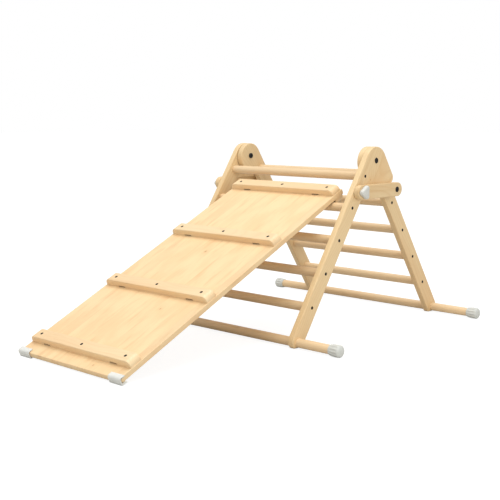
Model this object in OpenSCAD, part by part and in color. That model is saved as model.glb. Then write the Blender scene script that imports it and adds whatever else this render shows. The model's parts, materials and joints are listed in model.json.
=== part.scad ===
// Folding climbing frame with a cleated slide board hooked onto its second rung.
// Two wooden ladders meet at a hinge on each side and a strap holds them apart.
// Units are millimetres. X runs along the rungs, +Y points from the slide's low
// end to the rear ladder, and Z is up. The origin lies on the floor, in the
// middle of the whole footprint.

/* [Ladders] */
// Distance between the centres of neighbouring rungs
rung_pitch = 115; // [110:1:120]
// Diameter of the rungs and of the foot bars
rung_d = 28; // [24:1:30]
// Distance down the ladder from the hinge to the first rung
first_rung = 70.5; // [66:0.5:76]
// Lean of each ladder away from the vertical, in degrees
lean = 33.5; // [31:0.5:36]
// Width over the outer faces of the front rails
frame_w = 592; // [560:2:640]
// Width of a rail, seen from the side
rail_w = 52; // [46:1:54]
// Thickness of a rail
rail_t = 20.5; // [18:0.5:22]
// How far the rung line lies outside the line through the hinge
rung_offset = 21; // [20.5:0.5:24]

/* [Feet] */
// Distance between the outer ends of the two caps on a foot bar
foot_w = 922; // [880:2:960]
// Diameter of a foot cap
cap_d = 38; // [36:1:41]
// Length of a foot cap
cap_l = 41; // [36:1:50]
// Height of a foot bar's centre above the floor
foot_h = 18.5; // [17:0.5:18.5]

/* [Strap and knob] */
// Distance down the ladder from the hinge to the strap's bolts
strap_s = 128; // [126:1:132]
// Height of the strap's board
strap_h = 45; // [40:1:46]
// Thickness of the strap's board
strap_t = 19; // [16:0.5:20]
// How far the strap reaches past each bolt
strap_over = 28.5; // [23:0.5:30]
// How far the knob stands out from the strap
knob_depth = 13.5; // [10:0.5:18]

/* [Slide] */
// Width of the slide board
board_w = 450; // [400:2:470]
// Length of the slide board
board_l = 1011; // [960:1:1040]
// Thickness of the slide board
board_t = 16; // [14:0.5:18]
// Distance between the centres of neighbouring cleats
cleat_pitch = 305.5; // [290:0.5:310]
// Distance from the board's low end to the first cleat's centre
cleat_start = 66; // [60:1:72]
// Width of a cleat along the slope
cleat_w = 40; // [30:1:44]
// Height of a cleat above the board
cleat_h = 20; // [14:0.5:22]
// Distance from the board's top end to the rung that it hooks onto
hook_inset = 58; // [54:1:62]

/* [Hidden] */

$fn = 72;

pale_wood = [0.95, 0.84, 0.66];
rail_wood = [0.88, 0.76, 0.57];
grey_rubber = [0.84, 0.86, 0.84];
grey_plastic = [0.84, 0.84, 0.81];
dark_rubber = [0.16, 0.16, 0.16];
black_steel = [0.10, 0.10, 0.11];
zinc = [0.72, 0.73, 0.75];
brass = [0.78, 0.64, 0.33];

right = 1;
left = -1;
front = -1;
rear = 1;
rungs = 5;

// Small clearances
glue_gap = 0.05;
running_gap = 0.06;
rail_gap = 1;
face_gap = 0.5;

// A straight edge sinks this far into the arc that it runs into
sink = 0.1;

// Fasteners
bolt_r = 4;
bolt_head_r = 9;
bolt_head_h = 4;
screw_r = 2.5;
screw_head_r = 5;
screw_head_h = 3;
rung_screw_l = 50;
small_screw_r = 2;
small_head_r = 4.7;
small_head_h = 2.6;
cleat_screw_grip = 12;
insert_r = 6.5;
washer_r = 12;
spacer_r = 14;

// Wood left at the bottom of a blind hole in a rail
blind_skin = 3;

// Ladder, in the side view
rung_r = rung_d / 2;
socket_depth = 9;
foot_s = first_rung + rungs * rung_pitch;
rail_end_s = foot_s - 4.5;
foot_clear = 2.5;
head_shift = 1.8;
head_drop = 4.1;
rear_head_r = rung_offset + rail_w / 2 + sink
    - head_shift * cos(lean) + head_drop * sin(lean);
plate_shift = 1.5;
plate_drop = 9.5;
plate_r = rung_offset + rail_w / 2 + sink
    + plate_shift * cos(lean) + plate_drop * sin(lean);
plate_bottom = -76;
plate_corner_r = 18.5;
plate_fillet_r = 14;
head_fillet_r = 28;
flare_s = 92;

// Widths across the frame, from the middle plane
front_out = frame_w / 2;
front_in = front_out - rail_t;
rear_out = front_in - rail_gap;
rear_in = rear_out - rail_t;
strap_in = front_out + face_gap;
strap_out = strap_in + strap_t;
knob_in = strap_out + face_gap;
knob_out = knob_in + knob_depth - face_gap;
stud_end = knob_out - 3;
foot_bar_half = foot_w / 2 - 10;

// Side view points are given from the hinge, as y to the rear and z up
function rail_point(s, n, dir) = [
    dir * (s * sin(lean) + n * cos(lean)),
    n * sin(lean) - s * cos(lean)
];
function rung_s(i) = first_rung + (i - 1) * rung_pitch;
function rung_at(i, dir) = rail_point(rung_s(i), rung_offset, dir);

foot_drop = -rail_point(foot_s, rung_offset, rear)[1];
foot_reach = rail_point(foot_s, rung_offset, rear)[0];
hinge_z = foot_h + foot_drop;
strap_point = rail_point(strap_s, rung_offset, rear);

// Slope of the slide. The board lies on the rung with a thin pad between them, and
// the outer corner of the end clips lies on the floor.
clip_t = 3.5;
clip_l = 52;
clip_over = 6.5;
clip_wrap = 15.5;
clip_flat = 1.2;
rest_gap = 0.2;
pad_t = 2;
board_over_rung = rung_r + rest_gap + pad_t;
slide_run = board_l - hook_inset + clip_t;
clip_rise = board_over_rung - clip_t;
rung_2_z = hinge_z + rung_at(2, front)[1];
slope = atan(clip_rise / slide_run)
    + asin((rung_2_z + clip_flat) / norm([slide_run, clip_rise]));
clip_top = board_over_rung + board_t + clip_t;
slide_reach = -rung_at(2, front)[0] + slide_run * cos(slope) + clip_top * sin(slope);

// The footprint's middle is half way between the clips and the rear rails' feet
rear_reach = rail_point(rail_end_s, rung_offset, rear)[0] + rail_w / 2;
hinge_y = (slide_reach - rear_reach) / 2;

// Slide parts, along the slope u and square to it n, from the hooked rung
board_low = hook_inset - board_l;
board_top = board_over_rung + board_t;
cleats = 4;
cleat_half_l = board_w / 2 - 2;
cleat_round = 16;
cleat_screw_x = 189;
notch_l = 30;
notch_h = 4;
notch_d = 10;
notch_x = 150;
hook_gap = 0.4;
hook_h = 20;
pad_half_w = 12;
pad_inset = 3;

// Places the children's outline in the side view and gives it a thickness
module upright(x, thick) {
    translate([x, hinge_y, hinge_z])
        rotate([90, 0, 90])
            linear_extrude(thick)
                children();
}

// A round bar along X, centred on a side view point
module rod(x0, x1, r, at = [0, 0]) {
    translate([x0, hinge_y + at[0], hinge_z + at[1]])
        rotate([0, 90, 0])
            cylinder(h = x1 - x0, r = r);
}

// A turned shape along X, from an outline of radius and distance
module turned(x, at = [0, 0]) {
    translate([x, hinge_y + at[0], hinge_z + at[1]])
        rotate([0, 90, 0])
            rotate_extrude()
                children();
}

// The right side is drawn, and the left side is its mirror image
module on_side(side) {
    if (side == right)
        children();
    else
        mirror([1, 0, 0])
            children();
}

// Fills the inner corner beside an arc of radius r round the centre c. Points go
// counter-clockwise, like every outline here.
module fillet(points, c, r) {
    difference() {
        polygon(points);
        translate(c)
            circle(r);
    }
}

// The straight part of a rail, leaning to the rear. Its round foot is cut off
// flat just above the floor.
module rail_bar() {
    difference() {
        rotate(lean)
            translate([rung_offset, 0]) {
                translate([-rail_w / 2, -rail_end_s])
                    square([rail_w, rail_end_s]);
                translate([0, -rail_end_s])
                    circle(d = rail_w);
            }
        translate([0, -hinge_z - rail_w])
            square([foot_reach + 2 * rail_w, rail_w + foot_clear]);
    }
}

// The head's centre lies a little off the hinge
module rear_rail_outline() {
    inner = rung_offset - rail_w / 2;
    head = [
        head_shift * cos(lean) - head_drop * sin(lean),
        -head_shift * sin(lean) - head_drop * cos(lean)
    ];
    r = head_fillet_r;
    across = inner - r + sink;
    c = [
        across,
        head[1] - sqrt(pow(rear_head_r + r - sink, 2) - pow(across - head[0], 2))
    ];
    rail_bar();
    translate([head_shift, -head_drop])
        circle(rear_head_r);
    rotate(lean)
        fillet([c, [inner + 2, c[1]], [inner + 2, 0]], c, r);
}

// The head plate is a wide shield whose far edge is parallel to the rear ladder
module front_rail_outline() {
    outward = [cos(lean), sin(lean)];
    middle = [plate_shift, -plate_drop];
    corner = [
        (middle * outward + plate_r - plate_corner_r
            - (plate_bottom + plate_corner_r) * sin(lean)) / cos(lean),
        plate_bottom + plate_corner_r
    ];
    rail_edge = rail_point(flare_s, rung_offset + rail_w / 2 - 1, front);
    to_edge = rail_edge - middle;
    r = plate_r - sink;
    turn = atan2(to_edge[1], to_edge[0]) - acos(r / norm(to_edge));
    mirror([1, 0])
        rail_bar();
    translate(middle)
        circle(plate_r);
    translate(corner)
        circle(plate_corner_r);
    polygon([
        middle,
        middle + r * [cos(turn), sin(turn)],
        rail_edge,
        rail_line_point(plate_bottom + sink, rung_offset),
        corner - [0, plate_corner_r - sink],
        corner,
        corner + (plate_corner_r - sink) * outward,
        middle + r * outward
    ]);
    inner_fillet(plate_fillet_r);
}

// The point at height z on the line that lies n outside the front ladder's hinge line
function rail_line_point(z, n) = [
    (z * sin(lean) - n) / cos(lean),
    z
];

// Rounds the inner corner between the head plate and the front rail
module inner_fillet(r) {
    inner = rung_offset - rail_w / 2;
    c = rail_line_point(plate_bottom - r + 2 * sink, inner - r + sink);
    fillet([
        c,
        [c[0], plate_bottom + 2],
        rail_line_point(plate_bottom + 2, inner + 2),
        c - (r + 2) * [cos(lean), -sin(lean)]
    ], c, r);
}

// Holes for the rungs and their screws, drilled from the faces x0 (inner) and x1
module ladder_holes(x0, x1, dir) {
    for (i = [1:rungs]) {
        at = rung_at(i, dir);
        rod(x0 - 1, x0 + socket_depth, rung_r + glue_gap, at);
        rod(x0, x1 + 1, screw_r + glue_gap, at);
        turned(x1, at)
            polygon([
                [0, -screw_head_h - glue_gap],
                [screw_r, -screw_head_h - glue_gap],
                [screw_head_r + glue_gap, 0],
                [screw_head_r + glue_gap, 1],
                [0, 1]
            ]);
    }
    rod(x0 - 1, x1 + 1, rung_r + glue_gap, rail_point(foot_s, rung_offset, dir));
}

module front_rail(side) {
    color(rail_wood)
        on_side(side)
            difference() {
                upright(front_in, rail_t)
                    front_rail_outline();
                ladder_holes(front_in, front_out, front);
                rod(front_in - 1, front_out + 1, bolt_r + glue_gap);
                rod(front_in + blind_skin, front_out + 1, bolt_r + glue_gap,
                    mirrored(strap_point));
            }
}

module rear_rail(side) {
    color(rail_wood)
        on_side(side)
            difference() {
                upright(rear_in, rail_t)
                    rear_rail_outline();
                ladder_holes(rear_in, rear_out, rear);
                rod(rear_in - 1, rear_out + 1, bolt_r + running_gap);
                rod(rear_in + blind_skin, rear_out + 1, insert_r + glue_gap, strap_point);
            }
}

function mirrored(p) = [-p[0], p[1]];

// A rung reaches into blind sockets in both rails and takes a screw at each end
module rung(i, dir) {
    half = (dir == front ? front_in : rear_in) + socket_depth - glue_gap;
    shank_end = (dir == front ? front_out : rear_out) - rung_screw_l - 1;
    at = rung_at(i, dir);
    color(pale_wood)
        difference() {
            rod(-half, half, rung_r, at);
            for (side = [left, right])
                on_side(side)
                    rod(shank_end, half + 1, screw_r + glue_gap, at);
        }
}

module foot_bar(dir) {
    color(pale_wood)
        rod(-foot_bar_half, foot_bar_half, rung_r,
            rail_point(foot_s, rung_offset, dir));
}

// A ribbed rubber cap with a thin collar, a round end and a flat to stand on
module foot_cap(dir, side) {
    at = rail_point(foot_s, rung_offset, dir);
    r = cap_d / 2;
    end = foot_w / 2;
    start = end - cap_l;
    round = 12;
    collar = 5;
    rib_r = 1.1;
    color(grey_rubber)
        on_side(side)
            difference() {
                union() {
                    rod(start, start + collar, r - 3, at);
                    rod(start + collar, end - round, r, at);
                    rod(end - round, end, r - round, at);
                    turned(end - round, at)
                        intersection() {
                            translate([r - round, 0])
                                circle(round);
                            square([r, round]);
                        }
                }
                rod(start - 1, foot_bar_half + glue_gap, rung_r + glue_gap, at);
                for (a = [15:30:345])
                    rod(start + 2 * collar, end - round, rib_r,
                        at + r * [cos(a), sin(a)]);
                translate([start - 1, hinge_y + at[0] - r, -r])
                    cube([cap_l + 2, cap_d, r]);
            }
}

// One countersunk screw for each rung. Its recess is left to the finish.
module rung_screws(dir, side) {
    face = dir == front ? front_out : rear_out;
    color(black_steel)
        on_side(side)
            for (i = [1:rungs]) {
                at = rung_at(i, dir);
                turned(face, at)
                    polygon([
                        [0, -screw_head_h],
                        [screw_r, -screw_head_h],
                        [screw_head_r, 0],
                        [0, 0]
                    ]);
                rod(face - rung_screw_l, face - screw_head_h, screw_r, at);
            }
}

// A low domed head on the outer face with its shank running inwards
module headed_bolt(x0, x1, at) {
    dome_r = (pow(bolt_head_r, 2) + pow(bolt_head_h, 2)) / (2 * bolt_head_h);
    rod(x0, x1 + 1, bolt_r, at);
    turned(x1, at)
        intersection() {
            translate([0, bolt_head_h - dome_r])
                circle(dome_r, $fn = 144);
            square([bolt_head_r, bolt_head_h]);
        }
}

module hinge_bolt(side) {
    color(black_steel)
        on_side(side)
            headed_bolt(rear_in - 3, front_out, [0, 0]);
}

module strap_bolt(side) {
    color(black_steel)
        on_side(side)
            headed_bolt(rear_in + blind_skin + 1, strap_out + 0.3, strap_point);
}

// A threaded sleeve in the rear rail that takes the strap's bolt
module strap_insert(side) {
    color(brass)
        on_side(side)
            difference() {
                rod(rear_in + blind_skin + glue_gap, rear_out - 0.2, insert_r, strap_point);
                rod(rear_in, rear_out, bolt_r + glue_gap, strap_point);
            }
}

// A closed round nut on the inner face of a rear rail
module hinge_nut(side) {
    nut_h = 5;
    color(black_steel)
        on_side(side)
            difference() {
                rod(rear_in - nut_h, rear_in - 0.1, bolt_head_r);
                rod(rear_in - 3 - glue_gap, rear_in, bolt_r + glue_gap);
            }
}

// A flat ring between the two rails of one side
module hinge_washer(side) {
    color(zinc)
        on_side(side)
            difference() {
                rod(rear_out + 0.2, front_in, washer_r);
                rod(rear_out, front_in + 1, bolt_r + glue_gap);
            }
}

// A hanger bolt that is screwed into the front rail and stands out through the strap
module knob_stud(side) {
    color(zinc)
        on_side(side)
            rod(front_in + blind_skin + glue_gap, stud_end, bolt_r, mirrored(strap_point));
}

module strap_spacer(side) {
    color(rail_wood)
        on_side(side)
            difference() {
                rod(rear_out, strap_in - 0.3, spacer_r, strap_point);
                rod(rear_out - 1, strap_in, bolt_r + glue_gap, strap_point);
            }
}

// The strap turns on the rear bolt. A slot that opens at the top lets its
// front end drop off the stud once the knob is loose.
module strap(side) {
    slot_r = 5;
    slot_turn = 27;
    end_r = strap_h / 2;
    half = strap_point[0] + strap_over - end_r;
    color(rail_wood)
        on_side(side)
            difference() {
                upright(strap_in, strap_t)
                    translate([0, strap_point[1]])
                        difference() {
                            union() {
                                square([2 * half, strap_h], center = true);
                                translate([half, 0])
                                    circle(end_r);
                                translate([-half, 0])
                                    circle(end_r);
                            }
                            translate([-strap_point[0], 0]) {
                                circle(slot_r);
                                rotate(-slot_turn)
                                    translate([sink - slot_r, 0])
                                        square([2 * (slot_r - sink), strap_h]);
                            }
                        }
                rod(strap_in - 1, strap_out + 1, bolt_r + running_gap, strap_point);
            }
}

// A soft three-cornered knob with a flat side towards the rear
module knob(side) {
    lobe_r = 9;
    lobes = [[-14, 0], [6, 12.5], [6, -12.5]];
    at = mirrored(strap_point);
    color(grey_plastic)
        on_side(side)
            difference() {
                hull()
                    for (p = lobes)
                        rod(knob_in, knob_out, lobe_r, at + p, $fn = 32);
                rod(knob_in - 1, stud_end, insert_r + glue_gap, at);
                rod(stud_end - 1, stud_end + 0.5, bolt_r + running_gap, at);
            }
}

module knob_insert(side) {
    at = mirrored(strap_point);
    color(brass)
        on_side(side)
            difference() {
                rod(knob_in + 0.2, stud_end - glue_gap, insert_r, at);
                rod(knob_in, stud_end, bolt_r + running_gap, at);
            }
}

// Places the children on the slope, with the hooked rung's centre as the origin,
// Y up the slope and Z square to it
module on_slope() {
    translate([0, hinge_y + rung_at(2, front)[0], rung_2_z])
        rotate([slope, 0, 0])
            children();
}

module slide_board() {
    color(pale_wood)
        on_slope()
            difference() {
                translate([-board_w / 2, board_low, board_over_rung])
                    cube([board_w, board_l, board_t]);
                for (i = [1:cleats])
                    cleat_screw_holes(i);
            }
}

function cleat_u(i) = board_low + cleat_start + (i - 1) * cleat_pitch;

// The top cleat's screws go on through the board into the batten below it
function screw_grip(i) = cleat_screw_grip + (i == cleats ? board_t : 0);

// Shank holes for the three screws of one cleat
module cleat_screw_holes(i) {
    for (x = [-1:1])
        translate([x * cleat_screw_x, cleat_u(i), board_top - screw_grip(i)])
            cylinder(h = screw_grip(i) + cleat_h + 1, r = small_screw_r + glue_gap);
}

// A cleat has round ends, and two notches under its low edge
module cleat(i) {
    color(pale_wood)
        on_slope()
            difference() {
                translate([0, cleat_u(i) + cleat_w / 2, board_top])
                    rotate([90, 0, 0])
                        linear_extrude(cleat_w)
                            cleat_outline(cleat_h);
                for (side = [left, right])
                    translate([side * notch_x - notch_l / 2, cleat_u(i) - cleat_w / 2 - 1,
                               board_top - 1])
                        cube([notch_l, notch_d + 1, notch_h + 1]);
                cleat_screw_holes(i);
                for (x = [-1:1])
                    translate([x * cleat_screw_x, cleat_u(i), board_top + cleat_h])
                        rotate_extrude()
                            polygon([
                                [0, -small_head_h - glue_gap],
                                [small_screw_r, -small_head_h - glue_gap],
                                [small_head_r + glue_gap, 0],
                                [small_head_r + glue_gap, 1],
                                [0, 1]
                            ]);
            }
}

// A flat base with two large round corners at height h
module cleat_outline(h) {
    shoulder = cleat_half_l - cleat_round;
    translate([-cleat_half_l, 0])
        square([2 * cleat_half_l, h - cleat_round + sink]);
    translate([-shoulder, 0])
        square([2 * shoulder, h - sink]);
    for (side = [left, right])
        translate([side * shoulder, h - cleat_round])
            intersection() {
                circle(cleat_round);
                translate([-cleat_round - 1, cleat_round - h])
                    square([2 * cleat_round + 2, h + 1]);
            }
}

module cleat_screws(i) {
    color(black_steel)
        on_slope()
            for (x = [-1:1])
                translate([x * cleat_screw_x, cleat_u(i), board_top + cleat_h])
                    countersunk_screw(cleat_h + screw_grip(i));
}

// A small countersunk screw that points down from its head's flat top
module countersunk_screw(length) {
    rotate_extrude()
        polygon([
            [0, -length],
            [small_screw_r, -length],
            [small_screw_r, -small_head_h],
            [small_head_r, 0],
            [0, 0]
        ]);
}

// The batten under the board's top end drops behind the rung and hooks onto it
module hook_batten() {
    color(pale_wood)
        on_slope()
            difference() {
                translate([0, rung_r + hook_gap, board_over_rung - glue_gap])
                    rotate([-90, 0, 0])
                        linear_extrude(cleat_w)
                            cleat_outline(hook_h);
                cleat_screw_holes(cleats);
            }
}

// A thin rubber strip under the board where it lies on the rung
module rung_pad() {
    half = board_w / 2 - pad_inset;
    color(dark_rubber)
        on_slope()
            translate([-half, -pad_half_w, rung_r + rest_gap])
                cube([2 * half, 2 * pad_half_w, pad_t - glue_gap]);
}

// A rubber channel over each low corner of the board. It sticks out past the board's
// side and is flat where it meets the floor.
module end_clip(side) {
    low = board_low - clip_t;
    color(grey_rubber)
        on_side(side)
            difference() {
                on_slope()
                    translate([board_w / 2 + clip_over - clip_l, 0, 0])
                        difference() {
                            translate([0, low, board_over_rung - clip_t])
                                cube([clip_l, clip_t + clip_wrap, board_t + 2 * clip_t]);
                            translate([-1, board_low, board_over_rung])
                                cube([clip_l + 2, clip_wrap + 1, board_t]);
                        }
                translate([0, -slide_reach, -10])
                    cube([board_w, 2 * slide_reach, 10]);
            }
}

front_rail(right);  // front_rail_right
front_rail(left);  // front_rail_left
rung(1, front);  // front_rung_1
rung(2, front);  // front_rung_2
rung(3, front);  // front_rung_3
rung(4, front);  // front_rung_4
rung(5, front);  // front_rung_5
foot_bar(front);  // front_foot_bar
foot_cap(front, right);  // front_foot_cap_right
foot_cap(front, left);  // front_foot_cap_left
rung_screws(front, right);  // front_rung_screws_right
rung_screws(front, left);  // front_rung_screws_left
hinge_bolt(right);  // hinge_bolt_right
hinge_bolt(left);  // hinge_bolt_left
hinge_nut(right);  // hinge_nut_right
hinge_nut(left);  // hinge_nut_left
hinge_washer(right);  // hinge_washer_right
hinge_washer(left);  // hinge_washer_left
knob_stud(right);  // knob_stud_right
knob_stud(left);  // knob_stud_left
rear_rail(right);  // rear_rail_right
rear_rail(left);  // rear_rail_left
rung(1, rear);  // rear_rung_1
rung(2, rear);  // rear_rung_2
rung(3, rear);  // rear_rung_3
rung(4, rear);  // rear_rung_4
rung(5, rear);  // rear_rung_5
foot_bar(rear);  // rear_foot_bar
foot_cap(rear, right);  // rear_foot_cap_right
foot_cap(rear, left);  // rear_foot_cap_left
rung_screws(rear, right);  // rear_rung_screws_right
rung_screws(rear, left);  // rear_rung_screws_left
strap_spacer(right);  // strap_spacer_right
strap_spacer(left);  // strap_spacer_left
strap_bolt(right);  // strap_bolt_right
strap_bolt(left);  // strap_bolt_left
strap_insert(right);  // strap_insert_right
strap_insert(left);  // strap_insert_left
strap(right);  // strap_right
strap(left);  // strap_left
knob(right);  // knob_right
knob(left);  // knob_left
knob_insert(right);  // knob_insert_right
knob_insert(left);  // knob_insert_left
slide_board();
cleat(1);  // cleat_1
cleat(2);  // cleat_2
cleat(3);  // cleat_3
cleat(4);  // cleat_4
cleat_screws(1);  // cleat_screws_1
cleat_screws(2);  // cleat_screws_2
cleat_screws(3);  // cleat_screws_3
cleat_screws(4);  // cleat_screws_4
hook_batten();
rung_pad();
end_clip(right);  // end_clip_right
end_clip(left);  // end_clip_left
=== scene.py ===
"""Looks for the folding climbing frame with its slide board.

Every wooden, rubber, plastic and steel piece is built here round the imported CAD
part, in millimetres in a frame of its own, and then placed in the row frame in
metres. Each piece rides on the body of the CAD node that it stands for.
"""

import json
import math
import random

import bmesh
import bpy
from mathutils import Matrix, Vector

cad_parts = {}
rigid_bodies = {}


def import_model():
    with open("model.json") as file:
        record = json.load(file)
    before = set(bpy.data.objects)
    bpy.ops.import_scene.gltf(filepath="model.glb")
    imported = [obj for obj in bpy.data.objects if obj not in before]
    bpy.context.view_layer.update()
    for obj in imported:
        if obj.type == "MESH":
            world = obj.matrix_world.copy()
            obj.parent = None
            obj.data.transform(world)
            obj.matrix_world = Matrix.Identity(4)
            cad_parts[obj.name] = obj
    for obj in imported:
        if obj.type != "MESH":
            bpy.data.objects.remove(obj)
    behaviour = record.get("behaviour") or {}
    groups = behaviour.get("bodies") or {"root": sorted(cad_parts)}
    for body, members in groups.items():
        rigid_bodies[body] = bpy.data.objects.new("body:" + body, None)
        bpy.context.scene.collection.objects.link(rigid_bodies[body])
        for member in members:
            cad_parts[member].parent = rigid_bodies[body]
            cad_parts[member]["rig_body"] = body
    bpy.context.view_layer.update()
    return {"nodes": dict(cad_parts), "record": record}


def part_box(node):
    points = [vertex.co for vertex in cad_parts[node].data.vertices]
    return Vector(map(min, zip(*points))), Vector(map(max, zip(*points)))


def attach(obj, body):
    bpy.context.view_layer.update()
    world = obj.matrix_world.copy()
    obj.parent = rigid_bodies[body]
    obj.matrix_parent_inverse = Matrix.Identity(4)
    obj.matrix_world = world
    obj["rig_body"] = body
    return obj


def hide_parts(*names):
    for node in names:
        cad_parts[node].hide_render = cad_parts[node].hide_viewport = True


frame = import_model()

MM = 0.001
RIGHT, LEFT = 1, -1
FRONT, REAR = -1, 1
SIDES = {"right": RIGHT, "left": LEFT}
LADDERS = {"front": FRONT, "rear": REAR}
RNG = random.Random(20)
SLOT_OF = {s["node"]: s["material_slot"] for s in frame["record"]["subparts"]}

# ---------------------------------------------------------------- dimensions
# All in millimetres, as the CAD part has them.
LEAN = 33.5
RUNG_PITCH = 115
FIRST_RUNG = 70.5
RUNGS = 5
RUNG_R = 14
RUNG_OFFSET = 21
RAIL_W = 52
RAIL_T = 20.5
FOOT_S = FIRST_RUNG + RUNGS * RUNG_PITCH
RAIL_END_S = FOOT_S - 4.5
FOOT_CLEAR = 2.5
FOOT_CORNER_R = 4.0
HEAD = (1.8, -4.1)
PLATE = (1.5, -9.5)
PLATE_BOTTOM = -76
PLATE_CORNER_R = 18.5
PLATE_FILLET_R = 14
HEAD_FILLET_R = 28
SOCKET = 9
FIT = 0.05
SCREW_L = 50
SCREW_R = 2.5
SCREW_HEAD_R = 5.0
SCREW_HEAD_H = 3.0
SCREW_SUNK = 0.12
SCREW_BORE_L = 41
SMALL_SCREW_R = 2.0
SMALL_HEAD_R = 4.7
SMALL_HEAD_H = 2.6
SMALL_SUNK = 0.1
SINK_GAP = 0.3
SINK_SPARE = 0.15
STRAP_S = 128
STRAP_H = 45
STRAP_T = 19
STRAP_OVER = 28.5
SLOT_R = 5
SLOT_TURN = 27
BOLT_R = 4
BOLT_FIT = 0.06
BOLT_HEAD_R = 9.0
BOLT_HEAD_H = 4.0
RECESS_R = 2.9
RECESS_MOUTH_R = 3.3
NUT_R = 9.0
NUT_T = 4.9
SPACER_GAP = 0.3
CAP_L = 41
CAP_OVER_BAR = 10
BLIND_SKIN = 3
INSERT_R = 6.5
BOARD_T = 16
BOARD_LOW_CORNER_R = 8
BOARD_TOP_CORNER_R = 3
CLEAT_W = 40
CLEAT_H = 20
CLEAT_ROUND = 16
CLEAT_SCREW_X = 189
CLEAT_GRIP = 12
NOTCH_X = 150
NOTCH_L = 30
NOTCH_H = 4
NOTCH_D = 10
CLIP_T = 3.5
CLIP_L = 52
CLIP_OVER = 6.5
CLIP_WRAP = 15.5

# Radii of the rounded edges
RAIL_EASE = 2.8
STRAP_EASE = 2.6
CLEAT_EASE = 2.6
BOARD_EASE = 1.8
NOTCH_EASE = 0.8
RUBBER_EASE = 0.5


def centre(node):
    low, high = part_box(node)
    return (low + high) / 2


def span(node, axis):
    """A CAD node's extent along an axis of the row frame, in millimetres."""
    low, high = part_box(node)
    return low[axis] / MM, high[axis] / MM


HINGE = centre("hinge_bolt_right") / MM
HINGE.x = 0
FRONT_IN, FRONT_OUT = span("front_rail_right", 0)
REAR_IN, REAR_OUT = span("rear_rail_right", 0)
STRAP_IN, STRAP_OUT = span("strap_right", 0)
KNOB_IN, KNOB_OUT = span("knob_right", 0)
INNER = {FRONT: FRONT_IN, REAR: REAR_IN}
OUTER = {FRONT: FRONT_OUT, REAR: REAR_OUT}


# ------------------------------------------------------------- places, side view
def rail_point(s, n, ladder):
    """The side view point s down a ladder and n outside its hinge line."""
    a = math.radians(LEAN)
    return Vector((ladder * (s * math.sin(a) + n * math.cos(a)),
                   n * math.sin(a) - s * math.cos(a)))


def rung_at(i, ladder):
    return rail_point(FIRST_RUNG + (i - 1) * RUNG_PITCH, RUNG_OFFSET, ladder)


STRAP_BOLT = rail_point(STRAP_S, RUNG_OFFSET, REAR)
STRAP_STUD = Vector((-STRAP_BOLT.x, STRAP_BOLT.y))
STRAP_END = STRAP_BOLT.x + STRAP_OVER
FOOT_BAR = {d: rail_point(FOOT_S, RUNG_OFFSET, d) for d in (FRONT, REAR)}


def frame_matrix(origin, ex, ey, ez):
    """From a piece's own axes in millimetres to the row frame in metres."""
    m = Matrix((ex, ey, ez)).transposed().to_4x4() * MM
    m.translation = Vector(origin) * MM
    m[3][3] = 1
    return m


X, Y, Z = Vector((1, 0, 0)), Vector((0, 1, 0)), Vector((0, 0, 1))


def side_view(x, at=(0, 0)):
    """Outline axes are Y and Z from a side view point, and thickness runs along X."""
    return frame_matrix((x, HINGE.y + at[0], HINGE.z + at[1]), Y, Z, X)


def along_x(x, at=(0, 0)):
    """A turned piece whose axis runs along X through a side view point."""
    return frame_matrix((x, HINGE.y + at[0], HINGE.z + at[1]), X, Y, Z)


SLOPE_RUN = centre("cleat_4") - centre("cleat_1")
SLOPE = math.atan2(SLOPE_RUN.z, SLOPE_RUN.y)
UP_SLOPE = Vector((0, math.cos(SLOPE), math.sin(SLOPE)))
OFF_SLOPE = Vector((0, -math.sin(SLOPE), math.cos(SLOPE)))
HOOKED_RUNG = centre("front_rung_2") / MM
MIRROR = Matrix.Scale(-1, 4, X)


def on_slope(x, u, n, axes="xun"):
    """Axes on the slope from the hooked rung: x across, u up the slope, n off it."""
    named = {"x": X, "u": UP_SLOPE, "n": OFF_SLOPE, "d": -UP_SLOPE, "m": -OFF_SLOPE}
    origin = HOOKED_RUNG + x * X + u * UP_SLOPE + n * OFF_SLOPE
    origin.x = x
    return frame_matrix(origin, *(named[a] for a in axes))


def slope_coords(node):
    """A CAD node's lowest and highest u and n on the slope, in millimetres."""
    points = [v.co / MM - HOOKED_RUNG for v in frame["nodes"][node].data.vertices]
    us = [p.dot(UP_SLOPE) for p in points]
    ns = [p.dot(OFF_SLOPE) for p in points]
    return min(us), max(us), min(ns), max(ns)


BOARD_LOW, BOARD_TOP_U, BOARD_UNDER, BOARD_FACE = slope_coords("slide_board")
BOARD_HALF = span("slide_board", 0)[1]
CLEAT_HALF = span("cleat_1", 0)[1]


# ------------------------------------------------------------------ mesh making
ARC_STEP = 6
ROUND_STEPS = 4
SUPPORT = 1.1
SHARP = math.radians(38)


def arc(c, r, start, end):
    """Points on an arc from one angle to another, in degrees, either way round."""
    n = max(2, round(abs(end - start) / ARC_STEP))
    angles = [math.radians(start + (end - start) * k / n) for k in range(n + 1)]
    return [Vector((c[0] + r * math.cos(a), c[1] + r * math.sin(a))) for a in angles]


def clean(points):
    """Drops points that lie on the one before."""
    kept = []
    for p in (Vector(q) for q in points):
        if not kept or (p - kept[-1]).length > 0.02:
            kept.append(p)
    if (kept[0] - kept[-1]).length <= 0.02:
        kept.pop()
    return kept


def rounded(points, radii):
    """A counter-clockwise polygon whose corners have the given radii."""
    out = []
    count = len(points)
    for k in range(count):
        p = Vector(points[k])
        r = radii[k] if isinstance(radii, (list, tuple)) else radii
        a = (Vector(points[k - 1]) - p).normalized()
        b = (Vector(points[(k + 1) % count]) - p).normalized()
        if not r:
            out.append(p)
            continue
        half = a.angle(b) / 2
        c = p + (a + b).normalized() * (r / math.sin(half))
        start = p + a * (r / math.tan(half)) - c
        end = p + b * (r / math.tan(half)) - c
        t0 = math.degrees(math.atan2(start.y, start.x))
        t1 = math.degrees(math.atan2(end.y, end.x))
        t1 -= 360 * round((t1 - t0) / 360)
        out += arc(c, r, t0, t1)
    return clean(out)


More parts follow.
